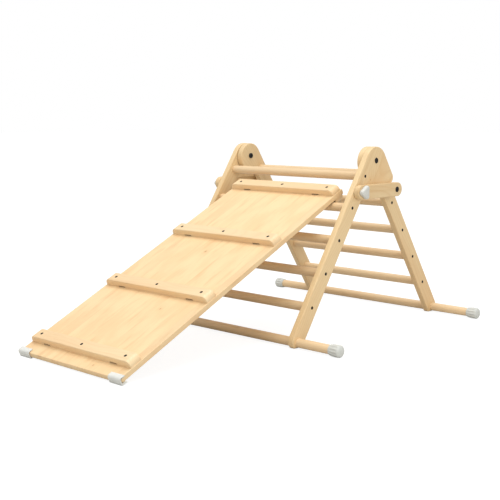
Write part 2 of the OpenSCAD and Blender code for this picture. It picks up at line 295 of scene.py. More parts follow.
def inset(outline, d):
    """The counter-clockwise outline, moved inwards by d."""
    out = []
    for k, p in enumerate(outline):
        a = (p - outline[k - 1]).normalized()
        b = (outline[(k + 1) % len(outline)] - p).normalized()
        na, nb = Vector((-a.y, a.x)), Vector((-b.y, b.x))
        out.append(p + (na + nb) * (d / max(1 + na.dot(nb), 0.2)))
    return out


def layered(rings):
    """A closed mesh through rings of equally many points, with a flat face at each end."""
    bm = bmesh.new()
    rows = [[bm.verts.new(p) for p in ring] for ring in rings]
    for low, high in zip(rows, rows[1:]):
        for k in range(len(low)):
            j = (k + 1) % len(low)
            bm.faces.new((low[k], low[j], high[j], high[k]))
    bm.faces.new(reversed(rows[0]))
    bm.faces.new(rows[-1])
    return bm


def slab(outline, thick, r=2.5):
    """A board with a counter-clockwise outline and rounded edges. Its thickness
    runs along its own Z from 0. Loops beside each rounding keep the flats flat."""
    outline = clean(outline)
    turns = [k * math.pi / 2 / ROUND_STEPS for k in range(ROUND_STEPS + 1)]
    low = [(r + SUPPORT, 0)] + [(r * (1 - math.sin(a)), r * (1 - math.cos(a))) for a in turns]
    low.append((0, r + SUPPORT))
    levels = low + [(d, thick - z) for d, z in reversed(low)]
    return layered([[(*p, z) for p in inset(outline, d)] for d, z in levels])


def hexagon(r, t):
    """Radius of a hexagon with corner radius r in direction t."""
    return r * math.cos(math.pi / 6) / math.cos((t % (math.pi / 3)) - math.pi / 6)


def cross(r, t):
    """Radius of a plus sign with arms of length r in direction t."""
    width = 0.27 * r
    a = (t + math.pi / 4) % (math.pi / 2) - math.pi / 4
    return min(r, width / max(abs(math.sin(a)), 1e-6))


def lathe(profile, segments=48, closed=False):
    """A turned mesh round its own X axis, from points of distance along the axis,
    radius and, where the ring isn't round, its shape. The profile runs so that
    the material lies on its left, as seen with X to the right and radius up."""
    bm = bmesh.new()
    rows = []
    for x, r, *shape in profile:
        if r == 0:
            rows.append([bm.verts.new((x, 0, 0))])
            continue
        ring = []
        for k in range(segments):
            t = 2 * math.pi * k / segments
            size = shape[0](r, t) if shape else r
            ring.append(bm.verts.new((x, size * math.cos(t), size * math.sin(t))))
        rows.append(ring)
    pairs = list(zip(rows, rows[1:]))
    if closed:
        pairs.append((rows[-1], rows[0]))
    for one, two in pairs:
        for k in range(segments):
            j = (k + 1) % segments
            face = [one[k % len(one)], one[j % len(one)], two[j % len(two)], two[k % len(two)]]
            unique = [v for i, v in enumerate(face) if v not in face[:i]]
            if len(unique) > 2:
                bm.faces.new(unique)
    bmesh.ops.recalc_face_normals(bm, faces=bm.faces)
    return bm


def moved(bm, matrix):
    """The mesh after a move, with its faces kept outwards if the move mirrors it."""
    bmesh.ops.transform(bm, matrix=matrix, verts=bm.verts)
    if matrix.to_3x3().determinant() < 0:
        bmesh.ops.reverse_faces(bm, faces=bm.faces)
    return bm


def joined(meshes):
    """One mesh that holds all of these."""
    whole = bmesh.new()
    for bm in meshes:
        part = bpy.data.meshes.new("part")
        bm.to_mesh(part)
        whole.from_mesh(part)
        bpy.data.meshes.remove(part)
        bm.free()
    return whole


def carved(bm, tools):
    """The mesh with closed tools cut out of it, and its many-sided faces triangulated."""
    objects = []
    for name, mesh_in in (("blank", bm), ("tool", joined(tools))):
        mesh = bpy.data.meshes.new(name)
        mesh_in.to_mesh(mesh)
        mesh_in.free()
        o = bpy.data.objects.new(name, mesh)
        bpy.context.scene.collection.objects.link(o)
        objects.append(o)
    blank, tool = objects
    cut = blank.modifiers.new("cut", "BOOLEAN")
    cut.operation, cut.solver, cut.object = "DIFFERENCE", "EXACT", tool
    bpy.context.view_layer.update()
    graph = bpy.context.evaluated_depsgraph_get()
    result = bmesh.new()
    result.from_object(blank, graph)
    for o in objects:
        mesh = o.data
        bpy.data.objects.remove(o)
        bpy.data.meshes.remove(mesh)
    bmesh.ops.remove_doubles(result, verts=result.verts, dist=0.002)
    wide = [f for f in result.faces if len(f.verts) > 4]
    bmesh.ops.triangulate(result, faces=wide, ngon_method="BEAUTY")
    return result


TO_THICKNESS = Matrix(((0, 1, 0, 0), (0, 0, 1, 0), (1, 0, 0, 0), (0, 0, 0, 1)))


def drill(profile, at=(0, 0), segments=32):
    """A turned cutter along a slab's thickness, at a point of its outline plane."""
    ends = [(profile[0][0], 0)] + list(profile) + [(profile[-1][0], 0)]
    bm = lathe(ends, segments)
    return moved(bm, Matrix.Translation((at[0], at[1], 0)) @ TO_THICKNESS)


def bore(x0, x1, r, at=(0, 0), segments=32):
    """A round cutter along the thickness of a slab."""
    return drill([(x0, r), (x1, r)], at, segments)


# ---------------------------------------------------------------- making pieces
WEAR_FROM, WEAR_OVER = 0.22, 0.14


def wear_of(vert):
    """How strongly a vertex lies on a rounded outer edge, from 0 to 1."""
    turns = [e.calc_face_angle_signed(0) for e in vert.link_edges if e.is_manifold]
    turns = [t for t in turns if t < SHARP]
    return min(max((max(turns, default=0) - WEAR_FROM) / WEAR_OVER, 0), 1)


def piece(node, bm, place, grain=None, side=RIGHT):
    """Turns a mesh in its own millimetres into the piece that stands for a CAD node.
    grain maps the piece's own point to one along, across and through the wood."""
    offset = Vector((RNG.uniform(0, 6), RNG.uniform(-0.03, 0.03), RNG.uniform(0.02, 0.07)))
    tone = RNG.uniform(-1, 1)
    bm.normal_update()
    local = [v.co.copy() for v in bm.verts]
    wear = [wear_of(v) for v in bm.verts]
    moved(bm, (MIRROR if side == LEFT else Matrix.Identity(4)) @ place)
    name = node + "_look"
    mesh = bpy.data.meshes.new(name)
    bm.to_mesh(mesh)
    bm.free()
    mesh.shade_smooth()
    mesh.set_sharp_from_angle(angle=SHARP)
    coords = [(grain(p) if grain else p) * MM + offset for p in local]
    layer = mesh.attributes.new("grain", "FLOAT_VECTOR", "POINT")
    layer.data.foreach_set("vector", [c for p in coords for c in p])
    for label, values in (("wear", wear), ("tone", [tone] * len(local))):
        layer = mesh.attributes.new(label, "FLOAT", "POINT")
        layer.data.foreach_set("value", values)
    obj = bpy.data.objects.new(name, mesh)
    bpy.context.scene.collection.objects.link(obj)
    mesh.materials.append(MATERIALS[SLOT_OF[node]])
    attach(obj, frame["nodes"][node]["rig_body"])
    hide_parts(node)
    return obj


# ------------------------------------------------------------------- materials
class Shader:
    """A short way to write a node tree."""

    def __init__(self, name):
        self.material = bpy.data.materials.new(name)
        self.material.use_nodes = True
        self.tree = self.material.node_tree
        self.tree.nodes.clear()
        self.surface = self.node("BsdfPrincipled")
        output = self.node("OutputMaterial")
        self.tree.links.new(self.surface.outputs[0], output.inputs["Surface"])

    def node(self, kind, **settings):
        made = self.tree.nodes.new("ShaderNode" + kind)
        for key, value in settings.items():
            setattr(made, key, value)
        return made

    def feed(self, socket, value):
        if isinstance(value, bpy.types.NodeSocket):
            self.tree.links.new(value, socket)
        else:
            socket.default_value = value

    def math(self, operation, *values, clamp=False):
        made = self.node("Math", operation=operation, use_clamp=clamp)
        for socket, value in zip(made.inputs, values):
            self.feed(socket, value)
        return made.outputs[0]

    def vector(self, operation, *values):
        made = self.node("VectorMath", operation=operation)
        for socket, value in zip(made.inputs, values):
            self.feed(socket, value)
        return made.outputs[0]

    def split(self, vector):
        made = self.node("SeparateXYZ")
        self.feed(made.inputs[0], vector)
        return made.outputs

    def combine(self, x, y, z):
        made = self.node("CombineXYZ")
        for socket, value in zip(made.inputs, (x, y, z)):
            self.feed(socket, value)
        return made.outputs[0]

    def mix(self, factor, a, b, blend="MIX"):
        made = self.node("Mix", data_type="RGBA", blend_type=blend)
        for index, value in ((0, factor), (6, a), (7, b)):
            self.feed(made.inputs[index], value)
        return made.outputs[2]

    def ramp(self, factor, stops):
        """A smooth ramp through (place, grey level) stops."""
        made = self.node("ValToRGB")
        made.color_ramp.interpolation = "EASE"
        elements = made.color_ramp.elements
        while len(elements) < len(stops):
            elements.new(0.5)
        for element, (place, level) in zip(elements, stops):
            element.position = place
            element.color = (level, level, level, 1)
        self.feed(made.inputs[0], factor)
        return made.outputs[0]

    def noise(self, vector, scale=1.0, detail=2.0, roughness=0.5):
        made = self.node("TexNoise")
        self.feed(made.inputs["Vector"], vector)
        for key, value in (("Scale", scale), ("Detail", detail), ("Roughness", roughness)):
            made.inputs[key].default_value = value
        return made.outputs[0]

    def attribute(self, name, vector=False):
        made = self.node("Attribute", attribute_name=name)
        return made.outputs["Vector" if vector else "Fac"]

    def bump(self, *layers):
        """Stacks (height, distance in metres, strength) layers into one normal."""
        normal = None
        for height, distance, strength in layers:
            made = self.node("Bump")
            made.inputs["Distance"].default_value = distance
            made.inputs["Strength"].default_value = strength
            self.feed(made.inputs["Height"], height)
            if normal is not None:
                self.feed(made.inputs["Normal"], normal)
            normal = made.outputs[0]
        self.feed(self.surface.inputs["Normal"], normal)

    def set(self, **values):
        """Feeds the surface's inputs, with underscores for the spaces in their names."""
        for key, value in values.items():
            self.feed(self.surface.inputs[key.replace("_", " ")], value)
        return self.material


def colour(r, g, b):
    return (r, g, b, 1)


def tinted(base, red, green, blue):
    """The colour with its red, green and blue multiplied."""
    return colour(base[0] * red, base[1] * green, base[2] * blue)


SEAM_SHARE = 0.009
KNOT_NET = (3.1, 8.0)
KNOT_R_LEAST, KNOT_R_MORE = 0.0022, 0.0035
HALO_REACH = 0.013
RINGS_PER_METRE = 235.0
FIBRES, PORES = (16, 900, 900), (85, 2300, 2300)
# how far the ambient-occlusion probe reaches, and the brown painted as shade into deep hollows
SHADE_PROBE_REACH = 0.014
PAINTED_SHADE_BROWN = colour(0.20, 0.092, 0.036)


def staves(s, grain, width):
    """Edge-glued staves: each one's own grain place and tone, and the seams between."""
    along, across, depth = s.split(grain)
    wander = s.math("SINE", s.math("MULTIPLY", across, 41.0))
    cell = s.math("MULTIPLY_ADD", wander, 0.16, s.math("DIVIDE", across, width))
    index = s.math("FLOOR", cell)
    rand = s.node("TexWhiteNoise", noise_dimensions="1D")
    s.feed(rand.inputs["W"], s.math("ADD", index, 0.37))
    r, g, b = s.split(rand.outputs["Color"])
    shift = s.combine(s.math("MULTIPLY", r, 9.0),
                      s.math("MULTIPLY_ADD", g, 0.5, s.math("MULTIPLY", index, 0.13)),
                      s.math("MULTIPLY_ADD", b, 0.05, 0.0))
    part = s.math("FRACT", cell)
    edge = s.math("MINIMUM", part, s.math("SUBTRACT", 1.0, part))
    seam = s.math("SUBTRACT", 1.0, s.math("DIVIDE", edge, SEAM_SHARE, clamp=True))
    return s.vector("ADD", grain, shift), s.math("MULTIPLY_ADD", r, 2.0, -1.0), seam


def knot_spots(s, grain, share):
    """Knots in that share of the cells of a net, and the halo that bends the rings."""
    flat = s.vector("MULTIPLY", grain, (*KNOT_NET, 0.0))
    cells = s.node("TexVoronoi", voronoi_dimensions="2D")
    s.feed(cells.inputs["Vector"], flat)
    cells.inputs["Scale"].default_value = 1.0
    cells.inputs["Randomness"].default_value = 0.85
    gap = s.vector("SUBTRACT", flat, cells.outputs["Position"])
    gx, gy, _ = s.split(s.vector("DIVIDE", gap, (*KNOT_NET, 1.0)))
    ragged = s.noise(s.vector("MULTIPLY", grain, (90, 90, 90)), detail=1.0)
    away = s.math("SQRT", s.math("ADD", s.math("POWER", s.math("MULTIPLY", gx, 0.72), 2.0),
                                 s.math("POWER", gy, 2.0)))
    away = s.math("MULTIPLY", away, s.math("MULTIPLY_ADD", ragged, 0.5, 0.75))
    lot, size, _ = s.split(cells.outputs["Color"])
    chosen = s.math("LESS_THAN", lot, share)
    radius = s.math("MULTIPLY_ADD", size, KNOT_R_MORE, KNOT_R_LEAST)
    outside = s.math("SMOOTH_MIN", s.math("DIVIDE", away, radius), 1.0, 0.4)
    knot = s.math("MULTIPLY", chosen, s.math("SUBTRACT", 1.0, outside, clamp=True))
    halo = s.math("MULTIPLY", chosen, s.math("EXPONENT", s.math("DIVIDE", away, -HALO_REACH)))
    return knot, halo


def late_wood(s, grain, halo):
    """The dark part of each growth ring round a pith line that wanders."""
    slow = s.noise(s.vector("MULTIPLY", grain, (1.6, 9.0, 9.0)), detail=2.0)
    sway = s.noise(s.vector("MULTIPLY", grain, (3.3, 5.0, 5.0)), detail=1.0)
    x, y, z = s.split(grain)
    y = s.math("ADD", y, s.math("MULTIPLY_ADD", slow, 0.030, s.math("MULTIPLY", x, 0.006)))
    z = s.math("ADD", z, s.math("MULTIPLY_ADD", sway, 0.045, s.math("MULTIPLY", x, 0.010)))
    reach = s.math("SQRT", s.math("ADD", s.math("POWER", y, 2.0), s.math("POWER", z, 2.0)))
    reach = s.math("ADD", reach, s.math("MULTIPLY", halo, 0.011))
    years = s.math("MULTIPLY_ADD", slow, 1.2, s.math("MULTIPLY", reach, RINGS_PER_METRE))
    return s.ramp(s.math("FRACT", years),
                  [(0.0, 0.25), (0.12, 0.0), (0.55, 0.18), (0.86, 1.0), (1.0, 0.25)])


def wood(name, pale, warm, ring_contrast, knots=0.0, stave=0.0, streaks=0.34, spread=0.035,
         cloud=(2.2, 14, 14), streak_scale=(2.6, 70, 70)):
    """Pale lacquered softwood. The figure is cut from rings round a wandering
    pith line, so that faces, edges and end grain agree. Knots bend the rings.
    With a stave width the board is glued from staves of different logs."""
    s = Shader(name)
    grain = s.attribute("grain", vector=True)
    tone = s.attribute("tone")
    seam = 0.0
    if stave:
        grain, tone, seam = staves(s, grain, stave)
    knot, halo = knot_spots(s, grain, knots)
    late = late_wood(s, grain, halo)
    # fibres, pores and broad stains
    fibre = s.noise(s.vector("MULTIPLY", grain, FIBRES), detail=3.0, roughness=0.6)
    streak = s.noise(s.vector("MULTIPLY", grain, streak_scale), detail=3.0, roughness=0.55)
    stain = s.noise(s.vector("MULTIPLY", grain, cloud), detail=3.0)
    pore = s.ramp(s.noise(s.vector("MULTIPLY", grain, PORES), detail=1.0), [(0.66, 0.0), (0.78, 1.0)])
    # colour, from the broad marks to the small ones
    deep = tinted(warm, 0.80, 0.70, 0.55)
    base = s.mix(s.ramp(stain, [(0.36, 0.0), (0.66, 1.0)]), pale, warm)
    base = s.mix(s.math("MULTIPLY", late, ring_contrast), base, tinted(warm, 0.84, 0.71, 0.52))
    base = s.mix(s.math("MULTIPLY", s.ramp(streak, [(0.50, 0.0), (0.74, 1.0)]), streaks), base, deep)
    base = s.mix(s.math("MULTIPLY", pore, 0.20), base, deep)
    base = s.mix(s.math("MULTIPLY", halo, 0.42), base, tinted(warm, 0.88, 0.70, 0.50))
    base = s.mix(s.math("MULTIPLY", knot, 0.75), base, tinted(warm, 0.42, 0.30, 0.20))
    # painted shade: deep hollows turned brown by ambient occlusion; then tone that differs between
    # pieces, darker seams, and rubbed edges
    # painted shade: the more a point is closed in, the nearer its colour goes to a dark brown
    occlusion = s.node("AmbientOcclusion", samples=6)
    occlusion.inputs["Distance"].default_value = SHADE_PROBE_REACH
    painted_shade = s.ramp(occlusion.outputs["AO"], [(0.05, 1.0), (0.30, 0.0)])
    base = s.mix(s.math("MULTIPLY", painted_shade, 0.85), base, PAINTED_SHADE_BROWN)
    light = s.math("MULTIPLY_ADD", tone, spread, s.math("MULTIPLY_ADD", fibre, 0.10, 0.955))
    light = s.math("MULTIPLY_ADD", seam, -0.10, light)
    base = s.mix(1.0, base, s.combine(light, light, light), blend="MULTIPLY")
    wear = s.attribute("wear")
    rubbed = s.math("MULTIPLY", wear, s.ramp(streak, [(0.35, 0.2), (0.6, 1.0)]))
    base = s.mix(s.math("MULTIPLY", rubbed, 0.16), base, deep)
    rough = s.math("MULTIPLY_ADD", fibre, 0.16, s.math("MULTIPLY_ADD", late, -0.05, 0.42))
    rough = s.math("MULTIPLY_ADD", rubbed, 0.10, rough)
    s.bump((fibre, 0.00010, 0.35), (late, 0.00008, 0.30),
           (s.math("MULTIPLY_ADD", seam, -1.0, s.math("MULTIPLY", knot, -0.6)), 0.00018, 0.5))
    return s.set(Base_Color=base, Roughness=rough, Coat_Weight=0.18, Coat_Roughness=0.32)


def soft_rubber(name, base):
    """Soft moulded rubber with a fine matt texture, a little dust and scuffed ribs."""
    s = Shader(name)
    place = s.attribute("grain", vector=True)
    cloud = s.noise(place, 55.0, 3.0)
    speck = s.noise(place, 2100.0, 2.0)
    scuff = s.noise(s.vector("MULTIPLY", place, (700, 160, 160)), detail=3.0)
    wear = s.attribute("wear")
    dusty = s.ramp(cloud, [(0.35, 0.0), (0.7, 1.0)])
    tint = s.mix(s.math("MULTIPLY", dusty, 0.5), base, tinted(base, 0.90, 0.90, 0.90))
    scuffed = s.math("MULTIPLY", s.ramp(scuff, [(0.6, 0.0), (0.75, 1.0)]),
                     s.math("MULTIPLY_ADD", wear, 0.35, 0.08))
    tint = s.mix(scuffed, tint, colour(0.50, 0.50, 0.48))
    tint = s.mix(s.math("MULTIPLY", speck, 0.10), tint, colour(0.55, 0.56, 0.55))
    s.bump((speck, 0.00006, 0.5), (cloud, 0.0002, 0.25))
    rough = s.math("MULTIPLY_ADD", cloud, 0.18, s.math("MULTIPLY_ADD", wear, -0.08, 0.46))
    s.set(Subsurface_Weight=0.18, Subsurface_Scale=0.004)
    s.surface.inputs["Subsurface Radius"].default_value = (1.0, 1.0, 0.9)
    return s.set(Base_Color=tint, Roughness=rough)


def moulded(name, base):
    """Hard moulded plastic: a spark-eroded texture with slightly polished edges."""
    s = Shader(name)
    place = s.attribute("grain", vector=True)
    cloud = s.noise(place, 70.0, 2.0)
    texture = s.noise(place, 1500.0, 3.0, 0.6)
    wear = s.attribute("wear")
    tint = s.mix(s.ramp(cloud, [(0.3, 0.0), (0.7, 1.0)]), base, tinted(base, 0.93, 0.93, 0.93))
    tint = s.mix(s.math("MULTIPLY", wear, 0.25), tint, colour(0.90, 0.90, 0.86))
    s.bump((texture, 0.00005, 0.5))
    rough = s.math("MULTIPLY_ADD", texture, 0.14, s.math("MULTIPLY_ADD", wear, -0.12, 0.34))
    return s.set(Base_Color=tint, Roughness=rough)


def metal(name, base, bright, rough, metallic=1.0, coords="grain", specular=0.5):
    """Plated or blackened steel, or brass, with fine turning marks and bright edges.
    Pieces that keep their CAD mesh have no grain, and use the object's own place."""
    s = Shader(name)
    if coords == "grain":
        place = s.attribute("grain", vector=True)
        wear = s.attribute("wear")
    else:
        place = s.node("TexCoord").outputs["Object"]
        wear = 0.0
    spots = s.noise(place, 420.0, 3.0)
    turning = s.noise(s.vector("MULTIPLY", place, (9000, 700, 700)), detail=1.0)
    rub = s.noise(place, 1300.0, 2.0)
    tint = s.mix(s.ramp(spots, [(0.35, 0.0), (0.72, 1.0)]), base, tinted(base, 0.72, 0.72, 0.72))
    edge = s.math("MULTIPLY", wear, s.ramp(rub, [(0.42, 0.0), (0.62, 1.0)]))
    tint = s.mix(s.math("MULTIPLY", edge, 0.6), tint, bright)
    s.bump((turning, 0.00002, 0.4), (spots, 0.00004, 0.3))
    level = s.math("MULTIPLY_ADD", spots, 0.22, rough - 0.11)
    return s.set(Base_Color=tint, Roughness=level, Metallic=metallic, Specular_IOR_Level=specular)


RAIL_PALE, RAIL_WARM = colour(0.80, 0.597, 0.33), colour(0.775, 0.545, 0.285)
RUNG_PALE, RUNG_WARM = colour(0.83, 0.635, 0.39), colour(0.80, 0.58, 0.338)
BOARD_PALE, BOARD_WARM = colour(0.86, 0.638, 0.36), colour(0.832, 0.57, 0.305)
CLEAT_PALE, CLEAT_WARM = colour(0.865, 0.655, 0.385), colour(0.84, 0.595, 0.335)
MATERIALS = {
    "rail_wood": wood("rail_wood", RAIL_PALE, RAIL_WARM, 0.26, knots=0.10),
    "rung_wood": wood("rung_wood", RUNG_PALE, RUNG_WARM, 0.22),
    "board_wood": wood("board_wood", BOARD_PALE, BOARD_WARM, 0.13, knots=0.26, stave=0.0645,
                       streaks=0.40, spread=0.05, cloud=(7, 17, 17), streak_scale=(8, 50, 50)),
    "cleat_wood": wood("cleat_wood", CLEAT_PALE, CLEAT_WARM, 0.16, knots=0.05, streaks=0.24),
    "foot_rubber": soft_rubber("foot_rubber", colour(0.635, 0.645, 0.60)),
    "clip_rubber": soft_rubber("clip_rubber", colour(0.77, 0.77, 0.72)),
    # near-black rubber pad; its dark end under the board's edge also serves as painted shadow along
    # the line between board and rung
    "pad_rubber": soft_rubber("pad_rubber", colour(0.06, 0.06, 0.06)),
    "knob_plastic": moulded("knob_plastic", colour(0.66, 0.655, 0.60)),
    "black_steel": metal("black_steel", colour(0.012, 0.012, 0.013), colour(0.09, 0.087, 0.085),
                         0.55, metallic=0.1, specular=0.3),
    "zinc_steel": metal("zinc_steel", colour(0.60, 0.61, 0.63), colour(0.8, 0.8, 0.8), 0.38,
                        coords="object"),
    "brass": metal("brass", colour(0.70, 0.52, 0.22), colour(0.8, 0.7, 0.4), 0.36,
                   coords="object"),
}


# --------------------------------------------------------------------- outlines
def head_radius(middle, ladder):
    """The radius that takes a head's circle to the outer edge of its rail."""
    a = math.radians(LEAN)
    return RUNG_OFFSET + RAIL_W / 2 - ladder * middle[0] * math.cos(a) - middle[1] * math.sin(a)


def rail_foot(ladder, start, end):
    """A rail's round foot, cut flat just above the floor, from one angle to another."""
    c = rail_point(RAIL_END_S, RUNG_OFFSET, ladder)
    r = RAIL_W / 2
    flat = HINGE.z - FOOT_CLEAR
    corner = FOOT_CORNER_R
    inside = math.degrees(math.acos((c.y + flat - corner) / (r - corner)))
    ends = []
    for way in (-1, 1):
        centre_x = c.x + way * (r - corner) * math.sin(math.radians(inside))
        turn = 270 + way * inside
        spread = (270, turn) if way > 0 else (turn, 270)
        ends.append(arc((centre_x, corner - flat), corner, *spread))
    return arc(c, r, start, 270 - inside) + ends[0] + ends[1] + arc(c, r, 270 + inside, end)


def rear_outline():
    """A rear rail: a round head, a straight bar and a round foot."""
    inner = RUNG_OFFSET - RAIL_W / 2
    across = inner - HEAD_FILLET_R
    head_r = head_radius(HEAD, REAR)
    a = math.radians(LEAN)
    head_n = HEAD[0] * math.cos(a) + HEAD[1] * math.sin(a)
    head_s = HEAD[0] * math.sin(a) - HEAD[1] * math.cos(a)
    down = head_s + math.sqrt((head_r + HEAD_FILLET_R) ** 2 - (across - head_n) ** 2)
    c = rail_point(down, across, REAR)
    way = c - Vector(HEAD)
    to_fillet = math.degrees(math.atan2(way.y, way.x)) % 360
    return (arc(c, HEAD_FILLET_R, to_fillet - 180, LEAN)
            + rail_foot(REAR, 180 + LEAN, 360 + LEAN)
            + arc(HEAD, head_r, LEAN, to_fillet))


def front_outline():
    """A front rail, whose top widens into a shield-shaped head plate."""
    a = math.radians(LEAN)
    inner = RUNG_OFFSET - RAIL_W / 2
    middle = Vector(PLATE)
    plate_r = head_radius(PLATE, FRONT)
    low = PLATE_BOTTOM + PLATE_CORNER_R
    outward = Vector((math.cos(a), math.sin(a)))
    corner = ((middle.dot(outward) + plate_r - PLATE_CORNER_R - low * math.sin(a)) / math.cos(a),
              low)
    z = PLATE_BOTTOM - PLATE_FILLET_R
    fillet = ((z * math.sin(a) - inner + PLATE_FILLET_R) / math.cos(a), z)
    return (rail_foot(FRONT, 180 - LEAN, 360 - LEAN)
            + arc(fillet, PLATE_FILLET_R, 180 - LEAN, 90)
            + arc(corner, PLATE_CORNER_R, -90, LEAN)
            + arc(middle, plate_r, LEAN, 180 - LEAN))


def strap_outline():
    """A strap with round ends and a slot that opens at its top over the stud."""
    r = STRAP_H / 2
    half = STRAP_END - r
    t = math.radians(SLOT_TURN)
    stud = Vector((STRAP_STUD.x, 0))
    way, wide = Vector((math.sin(t), math.cos(t))), Vector((math.cos(t), -math.sin(t)))

    def mouth(side):
        start = stud + wide * (side * SLOT_R)
        return start + way * ((r - start.y) / way.y)

    return (arc((half, 0), r, -90, 90) + [mouth(1)]
            + arc(stud, SLOT_R, -SLOT_TURN, -180 - SLOT_TURN) + [mouth(-1)]
            + arc((-half, 0), r, 90, 270))


# ----------------------------------------------------------------------- ladders
def rung_bores(ladder):
    """Blind sockets for the rungs, with a screw's shank and countersink behind."""
    tools = []
    for i in range(1, RUNGS + 1):
        steps = [(-1, RUNG_R + FIT), (SOCKET, RUNG_R + FIT), (SOCKET, SCREW_R + FIT),
                 (RAIL_T - SCREW_HEAD_H - FIT, SCREW_R + FIT),
                 (RAIL_T, SCREW_HEAD_R + SINK_GAP), (RAIL_T + 1, SCREW_HEAD_R + SINK_GAP)]
        tools.append(drill(steps, rung_at(i, ladder), 48))
    tools.append(bore(-1, RAIL_T + 1, RUNG_R + FIT, FOOT_BAR[ladder], 48))
    return tools


def rail_grain(ladder):
    """Along the rail, across it in the side view, and through its thickness."""
    down = rail_point(1, 0, ladder)
    out = rail_point(0, 1, ladder)
    return lambda p: Vector((p.x * down.x + p.y * down.y, p.x * out.x + p.y * out.y, p.z))


def countersunk(head_r, head_h, shank_r, length, recess, recess_r, depth):
    """A countersunk screw along X with the flat top of its head at 0."""
    return lathe([(-length, 0), (-length, shank_r * 0.6), (-length + 1.5, shank_r),
                  (-head_h, shank_r), (-0.25, head_r), (-0.05, head_r - 0.08), (0, head_r - 0.3),
                  (0, recess_r * 1.25), (-0.12, recess_r * 1.05, recess),
                  (-depth, recess_r * 0.95, recess), (-depth - 0.5, 0)], 48)


def rung_screw():
    return countersunk(SCREW_HEAD_R, SCREW_HEAD_H, SCREW_R, SCREW_L, hexagon, 2.2, 2.0)


def small_screw(length):
    return countersunk(SMALL_HEAD_R, SMALL_HEAD_H, SMALL_SCREW_R, length, cross, 2.5, 1.6)


def domed_bolt(x0, x1):
    """A bolt along X from its shank's end at x0 to the head that starts at x1."""
    head_r, head_h = BOLT_HEAD_R, BOLT_HEAD_H
    dome_r = (head_r ** 2 + head_h ** 2) / (2 * head_h)
    profile = [(x0, 0), (x0, BOLT_R - 0.7), (x0 + 0.7, BOLT_R), (x1, BOLT_R), (x1, head_r - 0.35),
               (x1 + 0.12, head_r - 0.08), (x1 + 0.4, head_r), (x1 + 0.8, head_r - 0.05)]
    for k in range(1, 9):
        r = head_r - (head_r - 3.9) * k / 8
        profile.append((x1 + head_h - dome_r + math.sqrt(dome_r ** 2 - r ** 2) - 0.02, r))
    top = profile[-1][0]
    profile += [(top - 0.05, RECESS_MOUTH_R, hexagon), (top - 0.45, RECESS_R, hexagon),
                (top - 2.6, RECESS_R, hexagon), (top - 3.2, 0)]
    return lathe(profile, 48)


def closed_nut(x_face):
    """A round closed nut with a hexagon recess, whose outer face looks along -X."""
    x, r = x_face - NUT_T, NUT_R
    return lathe([(x_face, 0), (x_face, r - 0.4), (x_face - 0.4, r), (x + 1.9, r),
                  (x + 1.2, r - 0.15), (x + 0.6, r - 0.8), (x + 0.2, r - 2.2), (x, r - 4.2),
                  (x, 3.9), (x + 0.06, RECESS_MOUTH_R, hexagon), (x + 0.5, RECESS_R, hexagon),
                  (x + 2.0, RECESS_R, hexagon), (x + 2.3, 0)], 48)


def dowel(half, bored=False):
    """A round bar with eased ends and, for a rung, a screw's bore in each end."""
    ease, r = 1.2, SCREW_R + FIT
    end = [(half - SCREW_BORE_L, 0), (half - SCREW_BORE_L, r), (half, r)] if bored else [(half, 0)]
    end += [(half, RUNG_R - ease), (half - 0.35 * ease, RUNG_R - 0.35 * ease),
            (half - ease, RUNG_R), (half - ease - 1.5, RUNG_R)]
    return lathe([(-x, r) for x, r in end] + [(x, r) for x, r in reversed(end)], 64)


def foot_cap():
    """A ribbed rubber cap along X from its collar at 0 to its domed end."""
    ribs, segments = 12, 144

    def ribbed(r, t, depth):
        trough = 0.5 - 0.5 * math.cos(ribs * t)
        return r - depth * trough ** 0.8

    # distance along, radius and rib depth
    outer = [(0.0, 15.2, 0), (0.4, 15.8, 0), (1.2, 16.0, 0), (3.8, 16.0, 0), (4.5, 15.8, 0),
             (5.0, 15.8, 0), (5.6, 16.4, 0.1), (6.8, 17.2, 0.6), (8.6, 17.7, 1.3),
             (11.0, 18.1, 1.75), (15.0, 18.5, 1.9), (20.0, 18.8, 1.9), (25.0, 19.0, 1.8),
             (29.0, 19.0, 1.5), (32.0, 18.8, 0.9), (34.0, 18.3, 0.3)]
    dome = [(x, r, 0) for x, r in ((35.6, 17.4), (37.2, 16.0), (38.6, 14.0), (39.7, 11.4),
                                   (40.4, 8.4), (40.8, 5.2), (41.0, 2.2))]
    bore_end = CAP_L - CAP_OVER_BAR + FIT
    profile = [(bore_end, 0), (bore_end, 12.0), (bore_end - 1.2, RUNG_R + FIT), (1.0, RUNG_R + FIT),
               (0.2, RUNG_R + 0.5), (0.0, RUNG_R + 1.2)]
    profile += [(x, r, lambda r, t, d=d: ribbed(r, t, d)) for x, r, d in outer + dome]
    profile.append((CAP_L, 0))
    return lathe(profile, segments)


def floor_cut(bm, height):
    """Flattens what would reach below the floor, at that height in the piece's own Z."""
    for v in bm.verts:
        v.co.z = max(v.co.z, height)
    return bm


